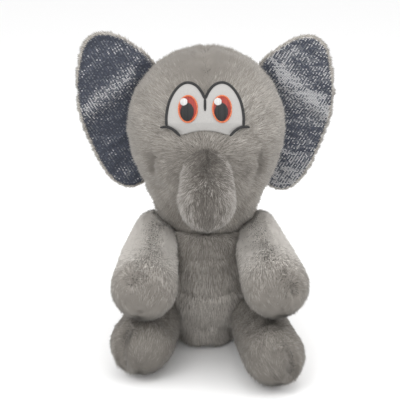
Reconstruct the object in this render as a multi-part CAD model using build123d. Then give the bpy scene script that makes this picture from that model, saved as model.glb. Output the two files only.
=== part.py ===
from build123d import *
import os
from math import asin, atan2, cos, degrees, radians, sin

# A seated stuffed elephant. Millimetres, +Z up, the face looks along -Y, and +X is on the
# right of someone who looks at the face. The origin is the middle of the flat seat.

# Cloth and clearances
PLUSH = 5.0          # woven backing with its pile pressed flat
LINING = 1.6         # metallic knit that lines the ears
FELT = 1.2           # short-pile eye patch
STITCHING = 0.8      # height of satin stitch over what it is sewn on
GAP = 0.5            # between pieces that move against each other
SHOULDER_ROOM = 3.5  # between a shoulder and the gathered thread that it swings past
SLIP = 0.3           # between a skin and its stuffing

# Torso: a pear-shaped bag, cut flat where it sits
TORSO_LOW = Vector(0, 0, 45)
TORSO_LOW_RADIUS = 60.0
TORSO_HIGH = Vector(0, 0, 86)
TORSO_HIGH_RADIUS = 55.0
TORSO_TOP = 124.0

# Head: a ball on a smaller neck ball that turns in a cup in the top of the torso
HEAD_RADIUS = 77.0
HEAD_CENTRE = Vector(0, 0, 214)
NECK_RADIUS = 55.0
NECK_CENTRE = Vector(0, 0, 150)
NECK_END = 112.0     # height at which the neck ball is cut flat
CUP_FLOOR = 103.0    # height of the floor of the cup
NECK_THREAD = 1.5    # radius of the gathered thread round the neck
NECK_THREAD_HEIGHT = 122.0

# Trunk: short and fat, sewn flat on the face
TRUNK_ROOT = Vector(0, -62, 196)
TRUNK_ROOT_RADIUS = 25.0
TRUNK_TIP = Vector(0, -106, 171.5)
TRUNK_TIP_RADIUS = 27.0

# Arms reach forward and rest over the legs
ARMS = {
    "left": (Vector(-52, -17, 101), 25.0, Vector(-57, -114, 96), 30.0),
    "right": (Vector(52, -17, 101), 25.0, Vector(63, -112, 97), 30.5),
}

# Legs lie on the floor, the right one stretched further
LEGS = {
    "left": (Vector(-50, -34, 30), 29.0, Vector(-60, -103, 31), 31.0),
    "right": (Vector(50, -36, 30), 29.0, Vector(61.5, -128, 29.5), 29.5),
}

# Ears: flat pads in a plane across the back of the head
EAR_PLANE = 16.0     # distance of the middle of the pad behind the head's centre
EAR_THICKNESS = 9.0
EAR_RIM = 4.0        # plush that shows round the lining
EAR_FREE_EDGE = (
    (-53, 276), (-63, 285), (-84, 299), (-101, 303), (-117, 294), (-126, 268), (-128, 242),
    (-120, 204), (-103, 166), (-84, 149), (-72, 148), (-65, 157),
)
EAR_SEWN_EDGE = ((-65, 157), (-74.5, 180), (-81, 203), (-81.3, 222), (-73, 250), (-53, 276))

# Face: drawn on a plane that leans back, and laid on the head ball
FACE_LEAN = 18.0
FACE_SHIFT = -1.5
PATCH_HALF_WIDTH = 35.0
PATCH_TOP = 36.0
PATCH_LOW = -9.0
NOTCH_HEIGHT = 19.0
NOTCH_DEPTH = 11.0
STROKE = 2.2
CHEEK_STROKE = ((40, -5.5), (35.5, -4.6), (29, -8), (22.5, -14))
EYE_SPACING = 15.4
EYE_HEIGHT = 9.8
IRIS = (8.6, 12.3)
PUPIL = (6.1, 8.5)
PUPIL_DROP = 2.4
GLINT_RADIUS = 3.3
GLINT_OFFSET = (-3.8, 6.4)

# Tail, label and hand-sewn closing on the back
TAIL_TOP = Vector(0, 66.3, 47)
TAIL_END = Vector(0, 71, 23)
TAIL_RADIUS = 5.5
TUFT_RADIUS = 8.0
TUFT_CENTRE = Vector(0, 72, 14)
LABEL = (12.0, 0.8, 18.0)
LABEL_HEIGHT = 62.0
CLOSING_STITCHES = 5
CLOSING_PITCH = 6.0
CLOSING_LOW = 60.0
CLOSING_THREAD = 0.7
CLOSING_WIDTH = 5.0


def pear(start, start_radius, end, end_radius, inset=0.0):
    """Two balls and the cone that touches both, all drawn in by the inset."""
    low = start_radius - inset
    high = end_radius - inset
    length = (end - start).length
    flare = asin((high - low) / length)

    def on_ball(radius, height, angle):
        return (radius * cos(angle), 0, height + radius * sin(angle))

    bottom = -radians(90)
    seam_low = on_ball(low, 0, -flare)
    seam_high = on_ball(high, length, -flare)
    top = (0, 0, length + high)
    outline = [
        ThreePointArc((0, 0, -low), on_ball(low, 0, (bottom - flare) / 2), seam_low),
        Line(seam_low, seam_high),
        ThreePointArc(seam_high, on_ball(high, length, (radians(90) - flare) / 2), top),
        Line(top, (0, 0, -low)),
    ]
    solid = revolve(make_face(outline), Axis.Z)
    return Plane(origin=start, z_dir=(end - start)) * solid


def ball(centre, radius):
    return Pos(*centre) * Sphere(radius)


def slab(low, high, reach=400.0):
    """Everything between two heights."""
    return Pos(0, 0, (low + high) / 2) * Box(reach, reach, high - low)


def front_half(reach=400.0):
    return Pos(0, -reach / 2, 0) * Box(reach, reach, 2 * reach)


def back_half(reach=400.0):
    return Pos(0, reach / 2, 0) * Box(reach, reach, 2 * reach)


def one(shape):
    """The single solid of a result."""
    solids = sorted(shape.solids(), key=lambda each: each.volume)
    return solids[-1]


def torso_bag(inset=0.0):
    bag = pear(TORSO_LOW, TORSO_LOW_RADIUS, TORSO_HIGH, TORSO_HIGH_RADIUS, inset)
    return bag & slab(inset, TORSO_TOP)


def neck_cup(growth):
    cup = ball(NECK_CENTRE, NECK_RADIUS + GAP + growth)
    return cup & slab(CUP_FLOOR - growth, HEAD_CENTRE.Z)


def thread_groove():
    radius = neck_thread_radius()
    ring = Torus(radius, NECK_THREAD + GAP)
    return Pos(0, 0, NECK_THREAD_HEIGHT) * ring


def neck_thread_radius():
    """The thread lies just clear of the neck ball at its height."""
    drop = NECK_CENTRE.Z - NECK_THREAD_HEIGHT
    out = NECK_RADIUS + GAP + NECK_THREAD
    return (out**2 - drop**2) ** 0.5


def torso_outer(inset=0.0):
    return torso_bag(inset) - neck_cup(inset)


def torso_skin():
    skin = torso_outer() - torso_outer(PLUSH)
    return skin - thread_groove()


def torso_panels():
    skin = torso_skin()
    seat = one(skin & slab(0, PLUSH))
    sides = skin & slab(PLUSH, TORSO_TOP)
    return {
        "seat_panel": seat,
        "belly_panel": one(sides & front_half()),
        "back_panel": one(sides & back_half()),
        "torso_stuffing": one(torso_outer(PLUSH + SLIP)),
    }


def neck_thread():
    return Pos(0, 0, NECK_THREAD_HEIGHT) * Torus(neck_thread_radius(), NECK_THREAD)


def head_form(inset=0.0):
    form = pear(NECK_CENTRE, NECK_RADIUS, HEAD_CENTRE, HEAD_RADIUS, inset)
    return form & slab(NECK_END + inset, HEAD_CENTRE.Z + HEAD_RADIUS)


def head_panels():
    skin = head_form() - head_form(PLUSH)
    return {
        "face_panel": one(skin & front_half()),
        "head_back_panel": one(skin & back_half()),
        "head_stuffing": one(head_form(PLUSH + SLIP)),
    }


def trunk_form(inset=0.0):
    form = pear(TRUNK_ROOT, TRUNK_ROOT_RADIUS, TRUNK_TIP, TRUNK_TIP_RADIUS, inset)
    return form - head_form(-GAP - inset)


def side_half(sign, reach=400.0):
    return Pos(sign * reach / 2, 0, 0) * Box(reach, reach, 2 * reach)


def trunk_panels():
    skin = trunk_form() - trunk_form(PLUSH)
    return {
        "trunk_left_panel": one(skin & side_half(-1)),
        "trunk_right_panel": one(skin & side_half(1)),
        "trunk_stuffing": one(trunk_form(PLUSH + SLIP)),
    }


def arm_form(side, inset=0.0):
    form = pear(*ARMS[side], inset)
    neck_room = ball(NECK_CENTRE, NECK_RADIUS + GAP + NECK_THREAD * 2 + SHOULDER_ROOM + inset)
    return form - torso_bag(-GAP - inset) - neck_room


def leg_form(side, inset=0.0):
    return pear(*LEGS[side], inset) - torso_bag(-GAP - inset)


def limb_panels(name, form, side, start, end):
    """A limb's skin, cut along its length into an inner and an outer panel, and its stuffing."""
    skin = form(side) - form(side, PLUSH)
    along = end - start
    turn = degrees(atan2(along.X, -along.Y))
    cut = Pos(start.X, start.Y, 0) * Rot(0, 0, turn)
    outer = -1 if side == "left" else 1
    return {
        f"{name}_outer_panel": one(skin & (cut * side_half(outer))),
        f"{name}_inner_panel": one(skin & (cut * side_half(-outer))),
        f"{name}_stuffing": one(form(side, PLUSH + SLIP)),
    }


def drawn_in(points, inset):
    """A closed ring of points, each moved square to the line between its neighbours."""
    moved = []
    for before, point, after in zip(points[-1:] + points[:-1], points, points[1:] + points[:1]):
        run = Vector(*after) - Vector(*before)
        inward = Vector(run.Y, -run.X).normalized()
        moved.append(Vector(*point) + inward * inset)
    return moved


def ear_pad(inset, near, far):
    """The left ear's outline, drawn in from its edge, as a pad between two depths."""
    ring = drawn_in(EAR_FREE_EDGE + EAR_SEWN_EDGE[1:-1], -inset)
    corner = len(EAR_FREE_EDGE)
    free_edge = Spline(*ring[:corner])
    sewn_edge = Spline(*ring[corner - 1:], ring[0])
    return extrude(Plane.XZ.offset(-far) * make_face([free_edge, sewn_edge]), amount=far - near)


def ear_pieces(side):
    front = EAR_PLANE - EAR_THICKNESS / 2
    back = EAR_PLANE + EAR_THICKNESS / 2
    pocket_floor = back - PLUSH / 2
    sewn = EAR_RIM + SLIP
    shapes = {
        f"{side}_ear_back": one(ear_pad(0, front, back) - ear_pad(EAR_RIM, front, pocket_floor)),
        f"{side}_ear_lining": one(ear_pad(sewn, front, front + LINING)),
        f"{side}_ear_wadding": one(ear_pad(sewn, front + LINING, pocket_floor - SLIP)),
    }
    if side == "left":
        return shapes
    return {name: mirror(shape, Plane.YZ) for name, shape in shapes.items()}


FACE = Plane(
    origin=HEAD_CENTRE + Vector(FACE_SHIFT, 0, 0),
    x_dir=(1, 0, 0),
    z_dir=(0, -cos(radians(FACE_LEAN)), sin(radians(FACE_LEAN))),
)


def on_face(sketch, low, high):
    """A flat drawing laid on the head ball as a layer between two heights above the plush."""
    column = extrude(FACE * sketch, amount=HEAD_RADIUS + 2 * PLUSH, dir=FACE.z_dir)
    shell = ball(HEAD_CENTRE, HEAD_RADIUS + high) - ball(HEAD_CENTRE, HEAD_RADIUS + low)
    return column & shell


def patch_edge():
    """Both arches over the eyes, from the left foot to the right foot."""
    half = PATCH_HALF_WIDTH
    mid = half / 2 - 1
    left = Spline((-half, 0), (-half + 3, 20), (-mid, PATCH_TOP), (-3.5, 27), (0, NOTCH_HEIGHT))
    return left, mirror(left, Plane.YZ)


def eye_patch_sketch():
    left, right = patch_edge()
    foot = (PATCH_HALF_WIDTH, 0)
    corner = (PATCH_HALF_WIDTH - 4, PATCH_LOW)
    low = Spline((-corner[0], corner[1]), (0, PATCH_LOW + 2.5), corner)
    sides = [Line(foot, corner), Line((-corner[0], corner[1]), (-foot[0], foot[1]))]
    return make_face([left, right, low, *sides])


def stroke_sketch(path, width=STROKE):
    return trace(path, line_width=width)


def ellipse_at(x, y, half_width, half_height):
    return Pos(x, y) * Ellipse(half_width, half_height)


def face_details():
    left, right = patch_edge()
    notch = Line((0, NOTCH_HEIGHT), (0, NOTCH_HEIGHT - NOTCH_DEPTH))
    outline = stroke_sketch(left) + stroke_sketch(right) + stroke_sketch(notch)
    pieces = {}
    eyes = {}
    for side, sign in (("left", -1), ("right", 1)):
        x = sign * EYE_SPACING
        iris = ellipse_at(x, EYE_HEIGHT, *IRIS)
        pupil = ellipse_at(x, EYE_HEIGHT - PUPIL_DROP, *PUPIL)
        glint = Pos(x + GLINT_OFFSET[0], EYE_HEIGHT + GLINT_OFFSET[1]) * Circle(GLINT_RADIUS)
        eyes[f"{side}_iris"] = iris - pupil - glint
        eyes[f"{side}_pupil"] = pupil - glint
        eyes[f"{side}_glint"] = glint
        cheek = Spline(*[(sign * across, up) for across, up in CHEEK_STROKE])
        pieces[f"{side}_cheek_stroke"] = one(on_face(stroke_sketch(cheek), FELT, FELT + STITCHING))
    pieces["eye_patch"] = one(on_face(eye_patch_sketch(), 0, FELT))
    pieces["eye_outline"] = one(on_face(outline, FELT, FELT + STITCHING))
    for name, sketch in eyes.items():
        pieces[name] = one(on_face(sketch, FELT, FELT + STITCHING))
    return pieces


def bag_radius(height):
    """The torso's radius where its side is a cone, above the low ball's middle."""
    rise = TORSO_HIGH.Z - TORSO_LOW.Z
    flare = asin((TORSO_HIGH_RADIUS - TORSO_LOW_RADIUS) / rise)
    return (TORSO_LOW_RADIUS + (height - TORSO_LOW.Z) * sin(flare)) / cos(flare)


def tail_pieces():
    tail = pear(TAIL_TOP, TAIL_RADIUS, TAIL_END, TAIL_RADIUS - 1)
    tuft = ball(TUFT_CENTRE, TUFT_RADIUS)
    return {"tail_cord": one(tail - tuft), "tail_tuft": tuft}


def closing_stitches():
    """Short ladder stitches over the seam in the middle of the back."""
    stitches = []
    for row in range(CLOSING_STITCHES):
        height = CLOSING_LOW + row * CLOSING_PITCH
        place = Pos(0, bag_radius(height) + CLOSING_THREAD, height)
        stitches.append(place * Rot(0, 90, 0) * Cylinder(CLOSING_THREAD, CLOSING_WIDTH))
    return Compound(children=stitches)


def care_label():
    width, thickness, height = LABEL
    reach = bag_radius(LABEL_HEIGHT)
    return Pos(reach + width / 2 + thickness, 0, LABEL_HEIGHT) * Box(width, thickness, height)


def every_piece():
    pieces = {}
    pieces.update(torso_panels())
    pieces["neck_thread"] = neck_thread()
    pieces.update(head_panels())
    pieces.update(trunk_panels())
    pieces.update(face_details())
    for side in ("left", "right"):
        pieces.update(ear_pieces(side))
        start, _, end, _ = ARMS[side]
        pieces.update(limb_panels(f"{side}_arm", arm_form, side, start, end))
        start, _, end, _ = LEGS[side]
        pieces.update(limb_panels(f"{side}_leg", leg_form, side, start, end))
    pieces.update(tail_pieces())
    pieces["closing_stitches"] = closing_stitches()
    pieces["care_label"] = care_label()
    return pieces


os.makedirs("parts", exist_ok=True)
for node, piece in every_piece().items():
    export_step(piece, f"parts/{node}.step")
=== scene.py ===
from math import cos, pi, radians, sin, sqrt

import bmesh
import bpy
import numpy as np
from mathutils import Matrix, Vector
from mathutils.bvhtree import BVHTree
from mathutils.kdtree import KDTree


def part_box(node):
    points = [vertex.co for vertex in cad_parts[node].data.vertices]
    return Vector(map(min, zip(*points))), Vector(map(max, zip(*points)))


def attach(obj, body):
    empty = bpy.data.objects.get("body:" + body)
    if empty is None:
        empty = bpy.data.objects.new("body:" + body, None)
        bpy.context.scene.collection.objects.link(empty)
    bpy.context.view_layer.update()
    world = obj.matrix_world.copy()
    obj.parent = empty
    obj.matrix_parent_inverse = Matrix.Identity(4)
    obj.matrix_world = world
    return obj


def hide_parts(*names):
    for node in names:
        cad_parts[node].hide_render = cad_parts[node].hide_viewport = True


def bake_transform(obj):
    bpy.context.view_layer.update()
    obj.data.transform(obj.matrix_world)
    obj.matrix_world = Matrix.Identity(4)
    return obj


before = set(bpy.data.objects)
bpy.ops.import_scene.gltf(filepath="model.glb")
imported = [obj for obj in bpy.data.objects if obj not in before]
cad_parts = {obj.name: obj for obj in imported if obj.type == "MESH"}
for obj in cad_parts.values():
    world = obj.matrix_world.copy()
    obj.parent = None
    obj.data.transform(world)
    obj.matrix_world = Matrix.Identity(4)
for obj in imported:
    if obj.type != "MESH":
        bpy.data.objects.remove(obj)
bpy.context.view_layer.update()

# Torso: a pear-shaped bag of grey plush filled with fibre, sewn up the sides and closed by a
# flat seat. The skin is the woven backing, and the pile that grows on it is a piece of its own.
# Lengths are in millimetres, and a bag is given as a row of balls: x, y, z and radius.
MM = 0.001
DOWN = (0.0, 0.0, -1.0)
TORSO = ((0, 0, 45, 56), (0, 0, 86, 51))
HEAD = ((0, 0, 150, 51), (0, 0, 214, 73))


def sphere_points(ball, count=500):
    centre, radius = Vector(ball[:3]) * MM, ball[3] * MM
    points = []
    for i in range(count):
        height = 1 - 2 * (i + 0.5) / count
        turn = i * pi * (3 - sqrt(5))
        across = sqrt(1 - height * height)
        points.append(centre + radius * Vector((across * cos(turn), across * sin(turn), height)))
    return points


def new_object(name, mesh):
    obj = bpy.data.objects.new(name, mesh)
    bpy.context.scene.collection.objects.link(obj)
    return obj


def applied(obj):
    """The object with its modifiers worked into its mesh."""
    graph = bpy.context.evaluated_depsgraph_get()
    mesh = bpy.data.meshes.new_from_object(obj.evaluated_get(graph))
    obj.modifiers.clear()
    obj.data = mesh
    return obj


def remeshed(obj, voxel, rounds=4):
    remesh = obj.modifiers.new("Remesh", "REMESH")
    remesh.mode = "VOXEL"
    remesh.voxel_size = voxel * MM
    smooth = obj.modifiers.new("Smooth", "SMOOTH")
    smooth.iterations = rounds
    return applied(obj)


def places(obj):
    co = np.empty(len(obj.data.vertices) * 3)
    obj.data.vertices.foreach_get("co", co)
    return co.reshape(-1, 3)


def normals(obj):
    out = np.empty(len(obj.data.vertices) * 3, np.float32)
    obj.data.vertex_normals.foreach_get("vector", out)
    return out.reshape(-1, 3).astype(float)


def move_to(obj, co):
    obj.data.vertices.foreach_set("co", co.astype(np.float32).ravel())
    obj.data.update()


def clearance(points, balls):
    """How far each point stands outside a row of balls, and the way straight out."""
    best = np.full(len(points), np.inf)
    out = np.zeros_like(points)
    for first, second in zip(balls, balls[1:]):
        a, b = np.array(first) * MM, np.array(second) * MM
        for t in np.linspace(0, 1, 25):
            middle = a + (b - a) * t
            away = points - middle[:3]
            length = np.maximum(np.linalg.norm(away, axis=1), 1e-9)
            gap = length - middle[3]
            nearer = gap < best
            best[nearer] = gap[nearer]
            out[nearer] = away[nearer] / length[nearer, None]
    return best, out


def kept_clear(obj, balls, gap):
    """Presses the skin against a neighbour instead of letting it pass through."""
    co = places(obj)
    room, out = clearance(co, balls)
    inside = room < gap * MM
    co[inside] += out[inside] * (gap * MM - room[inside])[:, None]
    move_to(obj, co)


def on_floor(obj, height):
    co = places(obj)
    co[:, 2] = np.maximum(co[:, 2], height * MM)
    move_to(obj, co)


def bag(name, balls, voxel=4.0, rounds=4):
    """A closed skin round a row of balls."""
    form = bmesh.new()
    for first, second in zip(balls, balls[1:]):
        points = [form.verts.new(p) for p in sphere_points(first) + sphere_points(second)]
        found = bmesh.ops.convex_hull(form, input=points)
        inner = [v for v in found["geom_interior"] if isinstance(v, bmesh.types.BMVert)]
        bmesh.ops.delete(form, geom=inner, context="VERTS")
    bmesh.ops.recalc_face_normals(form, faces=form.faces)
    mesh = bpy.data.meshes.new(name)
    form.to_mesh(mesh)
    form.free()
    return remeshed(new_object(name, mesh), voxel, rounds)


def stuffed(obj, held, slack=0.05, pressure=3.0, cap=3.0, frames=16):
    """Fills the bag: slack cloth swells between the seams and the places that hold it."""
    before = places(obj)
    group = obj.vertex_groups.new(name="held")
    for index in np.nonzero(held > 0)[0]:
        group.add([int(index)], float(held[index]), "REPLACE")
    cloth = obj.modifiers.new("Cloth", "CLOTH")
    cloth.settings.quality = 4
    cloth.settings.mass = 0.2
    cloth.settings.tension_stiffness = 12
    cloth.settings.compression_stiffness = 12
    cloth.settings.shear_stiffness = 6
    cloth.settings.bending_stiffness = 0.4
    cloth.settings.shrink_min = -slack
    cloth.settings.use_pressure = True
    cloth.settings.uniform_pressure_force = pressure
    cloth.settings.vertex_group_mass = "held"
    cloth.settings.effector_weights.gravity = 0
    cloth.point_cache.frame_start = 1
    cloth.point_cache.frame_end = frames
    for frame_number in range(1, frames + 1):
        bpy.context.scene.frame_set(frame_number)
    applied(obj)
    bpy.context.scene.frame_set(1)
    obj.vertex_groups.clear()
    moved = places(obj) - before
    length = np.maximum(np.linalg.norm(moved, axis=1), 1e-9)
    move_to(obj, before + moved * np.minimum(1, cap * MM / length)[:, None])
    divide = obj.modifiers.new("Subdivision", "SUBSURF")
    divide.levels = divide.render_levels = 1
    applied(obj)
    obj.data.shade_smooth()
    return obj


def near_plane(obj, point, square, reach):
    """1 on the vertices along a flat cut through the bag, where a seam holds the cloth."""
    square = np.array(square) / np.linalg.norm(square)
    return (np.abs((places(obj) - np.array(point) * MM) @ square) < reach * MM).astype(float)


def off_line(co, path):
    """The step from the nearest place on a line through the given points."""
    best = np.full(co.shape, 9.0)
    for a, b in zip(path, path[1:]):
        a, b = np.array(a) * MM, np.array(b) * MM
        run = b - a
        t = np.clip(((co - a) @ run) / (run @ run), 0, 1)
        step = co - a - t[:, None] * run
        nearer = np.linalg.norm(step, axis=1) < np.linalg.norm(best, axis=1)
        best[nearer] = step[nearer]
    return best


def beside(co, path, width):
    """1 on a line through the given points, falling away over a width."""
    return np.exp(-(np.linalg.norm(off_line(co, path), axis=1) / (width * MM)) ** 2)


def creased(obj, path, depth, width):
    """Draws the skin in along a line."""
    co = places(obj)
    move_to(obj, co - normals(obj) * (depth * MM * beside(co, path, width))[:, None])


def fabric(name, colour, rough=0.8, sheen=0.0, metal=0.0):
    """A woven or pile material of one shade."""
    material = bpy.data.materials.new(name)
    material.use_nodes = True
    shader = material.node_tree.nodes["Principled BSDF"]
    shader.inputs["Base Color"].default_value = (*colour, 1)
    shader.inputs["Roughness"].default_value = rough
    shader.inputs["Metallic"].default_value = metal
    shader.inputs["Sheen Weight"].default_value = sheen
    shader.inputs["Sheen Roughness"].default_value = 0.5
    return material


def mottled(name, dark, light, scale, bump, rough=0.85, sheen=0.0):
    """A fabric with noise in its colour and its surface."""
    material = fabric(name, dark, rough, sheen)
    nodes, links = material.node_tree.nodes, material.node_tree.links
    shader = nodes["Principled BSDF"]
    where = nodes.new("ShaderNodeTexCoord")
    noise = nodes.new("ShaderNodeTexNoise")
    noise.inputs["Scale"].default_value = scale
    noise.inputs["Detail"].default_value = 4
    ramp = nodes.new("ShaderNodeValToRGB")
    ramp.color_ramp.elements[0].color = (*dark, 1)
    ramp.color_ramp.elements[1].color = (*light, 1)
    ramp.color_ramp.elements[0].position = 0.35
    ramp.color_ramp.elements[1].position = 0.65
    raised = nodes.new("ShaderNodeBump")
    raised.inputs["Strength"].default_value = 1
    raised.inputs["Distance"].default_value = bump * MM
    links.new(where.outputs["Object"], noise.inputs["Vector"])
    links.new(noise.outputs["Fac"], ramp.inputs["Fac"])
    links.new(ramp.outputs["Color"], shader.inputs["Base Color"])
    links.new(noise.outputs["Fac"], raised.inputs["Height"])
    links.new(raised.outputs["Normal"], shader.inputs["Normal"])
    return material


# The backing under the pile is much darker than the strands: painted shade deep between them.
backing = mottled("plush_backing_painted_shade", (0.13, 0.12, 0.11), (0.2, 0.19, 0.175), 900, 0.3)
PILE_SHADES = [
    fabric("plush_dark", (0.28, 0.257, 0.23), 0.75, 0.15),
    fabric("plush_mid", (0.43, 0.4, 0.362), 0.75, 0.15),
    fabric("plush_light", (0.6, 0.567, 0.525), 0.75, 0.15),
]


class Tree:
    """A geometry node tree with named inputs."""

    def __init__(self, name):
        self.tree = bpy.data.node_groups.new(name, "GeometryNodeTree")
        self.tree.interface.new_socket("Geometry", in_out="INPUT", socket_type="NodeSocketGeometry")
        self.tree.interface.new_socket("Geometry", in_out="OUTPUT", socket_type="NodeSocketGeometry")
        self.keys = {}
        self.start = self.node("NodeGroupInput")
        self.end = self.node("NodeGroupOutput")

    def add_input(self, name, kind):
        socket = self.tree.interface.new_socket(name, in_out="INPUT", socket_type=kind)
        self.keys[name] = socket.identifier
        return self.start.outputs[name]

    def node(self, kind, links=None, **settings):
        node = self.tree.nodes.new(kind)
        for key, value in settings.items():
            setattr(node, key, value)
        for key, value in (links or {}).items():
            self.link(value, node.inputs[key])
        return node

    def link(self, value, socket):
        if isinstance(value, bpy.types.NodeSocket):
            self.tree.links.new(value, socket)
        else:
            socket.default_value = value

    def attribute(self, name, kind="FLOAT"):
        return self.node("GeometryNodeInputNamedAttribute", {"Name": name}, data_type=kind).outputs[0]

    def math(self, operation, a, b):
        return self.node("ShaderNodeMath", {0: a, 1: b}, operation=operation).outputs[0]

    def vector(self, operation, a, b):
        return self.node("ShaderNodeVectorMath", {0: a, 1: b}, operation=operation).outputs[0]

    def scaled(self, vector, factor):
        node = self.node("ShaderNodeVectorMath", {0: vector}, operation="SCALE")
        self.link(factor, node.inputs["Scale"])
        return node.outputs[0]

    def store(self, geometry, name, value, kind, domain):
        node = self.node("GeometryNodeStoreNamedAttribute", {"Geometry": geometry, "Name": name},
                         data_type=kind, domain=domain)
        self.link(value, node.inputs["Value"])
        return node.outputs["Geometry"]

    def shaded(self, geometry, shades):
        """Gives each strand one of the materials by its stored shade from 0 to 1."""
        for step, material in enumerate(shades):
            over = self.node("FunctionNodeCompare", data_type="FLOAT", operation="GREATER_EQUAL")
            self.link(self.attribute("shade"), over.inputs[0])
            self.link(step / len(shades) if step else -9.0, over.inputs[1])
            geometry = self.node("GeometryNodeSetMaterial", {
                "Geometry": geometry, "Selection": over.outputs[0], "Material": material,
            }).outputs["Geometry"]
        return geometry

    def use_on(self, obj, **values):
        modifier = obj.modifiers.new(self.tree.name, "NODES")
        modifier.node_group = self.tree
        for name, value in values.items():
            modifier[self.keys[name]] = value
        return applied(obj)


def pile_tree():
    """Strands of pile, laid along the combed direction and gathered a little into clumps."""
    tree = Tree("pile")
    per_area = tree.add_input("Density", "NodeSocketFloat")
    length = tree.add_input("Length", "NodeSocketFloat")
    width = tree.add_input("Width", "NodeSocketFloat")
    lift = tree.add_input("Lift", "NodeSocketFloat")
    clump = tree.add_input("Clump", "NodeSocketFloat")
    seed = tree.add_input("Seed", "NodeSocketInt")
    strand = tree.add_input("Strand", "NodeSocketObject")
    shades = [tree.add_input(f"Shade {i}", "NodeSocketMaterial") for i in range(3)]
    spread = tree.node("GeometryNodeDistributePointsOnFaces", {
        "Mesh": tree.start.outputs["Geometry"], "Seed": seed,
        "Density": tree.math("MULTIPLY", per_area, tree.attribute("cover")),
    })
    position = tree.node("GeometryNodeInputPosition").outputs[0]
    flow = tree.attribute("flow", "FLOAT_VECTOR")
    broad = tree.node("ShaderNodeTexNoise", {"Vector": position, "Scale": 75.0, "Detail": 3.0})
    wave = tree.vector("SUBTRACT", broad.outputs["Color"], (0.5, 0.5, 0.5))
    stray = tree.node("FunctionNodeRandomValue", {"Seed": seed}, data_type="FLOAT_VECTOR")
    stray.inputs["Min"].default_value = (-1, -1, -1)
    stray.inputs["Max"].default_value = (1, 1, 1)
    lean = tree.vector("ADD", tree.scaled(spread.outputs["Normal"], lift), flow)
    lean = tree.vector("ADD", lean, tree.scaled(wave, clump))
    lean = tree.vector("ADD", lean, tree.scaled(stray.outputs[0], 0.3))
    turned = tree.node("FunctionNodeAlignRotationToVector", {"Vector": lean}, axis="Z")
    turned = tree.node("FunctionNodeAlignRotationToVector", {
        "Rotation": turned.outputs[0], "Vector": flow,
    }, axis="X", pivot_axis="Z")
    size = tree.node("FunctionNodeRandomValue", {"Seed": seed}, data_type="FLOAT")
    size.inputs[2].default_value = 0.75
    size.inputs[3].default_value = 1.4
    tall = tree.math("MULTIPLY", length, size.outputs[1])
    scale = tree.node("ShaderNodeCombineXYZ", {0: tall, 1: width, 2: tall})
    strands = tree.node("GeometryNodeInstanceOnPoints", {
        "Points": spread.outputs["Points"],
        "Instance": tree.node("GeometryNodeObjectInfo", {"Object": strand}).outputs["Geometry"],
        "Rotation": turned.outputs[0], "Scale": scale.outputs[0],
    }).outputs[0]
    fleck = tree.node("FunctionNodeRandomValue", {"Seed": tree.math("ADD", seed, 7)},
                      data_type="FLOAT")
    patchy = tree.node("ShaderNodeTexNoise", {"Vector": position, "Scale": 120.0, "Detail": 2.0})
    # Each strand's shade is random, plus the tone attribute, which also carries the painted light and
    # shade that each skin is given.
    shade = tree.math("ADD", tree.math("MULTIPLY", fleck.outputs[1], 0.75),
                      tree.math("MULTIPLY", patchy.outputs["Fac"], 0.5))
    shade = tree.math("ADD", tree.math("SUBTRACT", shade, 0.125), tree.attribute("tone"))
    strands = tree.store(strands, "shade", shade, "FLOAT", "INSTANCE")
    strands = tree.store(strands, "out", tree.attribute("out", "FLOAT_VECTOR"), "FLOAT_VECTOR",
                         "INSTANCE")
    real = tree.node("GeometryNodeRealizeInstances", {0: strands}).outputs[0]
    real = tree.shaded(real, shades)
    own = tree.node("GeometryNodeInputNormal").outputs[0]
    soft = tree.vector("ADD", tree.scaled(own, 0.35), tree.attribute("out", "FLOAT_VECTOR"))
    lit = tree.node("GeometryNodeSetMeshNormal", {0: real}, mode="FREE", domain="POINT")
    tree.link(soft, lit.inputs["Custom Normal"])
    tree.link(lit.outputs[0], tree.end.inputs[0])
    return tree


def strand_shape():
    """One strand of pile: three long sides, a unit high and wide, that lean towards +X."""
    mesh = bpy.data.meshes.new("strand")
    mesh.from_pydata([(0.04, -0.5, 0), (0.04, 0.5, 0), (-0.06, 0, 0), (0.2, 0, 1)],
                     [], [(0, 1, 3), (1, 2, 3), (2, 0, 3)])
    mesh.shade_smooth()
    return new_object("strand", mesh)


PILE = pile_tree()
STRAND = strand_shape()


def with_attribute(obj, name, kind, values):
    layer = obj.data.attributes.new(name, kind, "POINT")
    layer.data.foreach_set("vector" if kind == "FLOAT_VECTOR" else "value",
                           values.astype(np.float32).ravel())


def combed(obj, towards, strength=1.0):
    """Unit vectors along the skin that point the way the pile is brushed."""
    out = normals(obj)
    along = towards - out * np.sum(towards * out, axis=1)[:, None]
    length = np.maximum(np.linalg.norm(along, axis=1), 0.15)
    return along / length[:, None] * strength


def pile(name, skin, flow, cover, seed, length=5.5, lift=0.8, clump=1.2, tone=0.0, density=1.6,
         width=0.62, shades=None):
    """The pile of one skin, as a piece of its own."""
    obj = new_object(name, skin.data.copy())
    with_attribute(obj, "flow", "FLOAT_VECTOR", flow)
    with_attribute(obj, "cover", "FLOAT", cover)
    with_attribute(obj, "out", "FLOAT_VECTOR", normals(skin))
    with_attribute(obj, "tone", "FLOAT", np.zeros(len(cover)) + tone)
    dark, mid, light = shades or PILE_SHADES
    PILE.use_on(obj, **{
        "Density": density / MM ** 2 * 1, "Length": length * MM,
        "Width": width * MM * 1, "Lift": lift, "Clump": clump,
        "Seed": seed, "Strand": STRAND,
        "Shade 0": dark, "Shade 1": mid, "Shade 2": light,
    })
    co = places(obj)
    co[:, 2] = np.maximum(co[:, 2], 0.1 * MM)
    move_to(obj, co)
    for attribute in ("flow", "cover", "out", "shade", "tone"):
        if attribute in obj.data.attributes:
            obj.data.attributes.remove(obj.data.attributes[attribute])
    return obj


def skin_piece(obj, *nodes):
    obj.data.materials.clear()
    obj.data.materials.append(backing)
    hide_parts(*nodes)
    return obj


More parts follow.
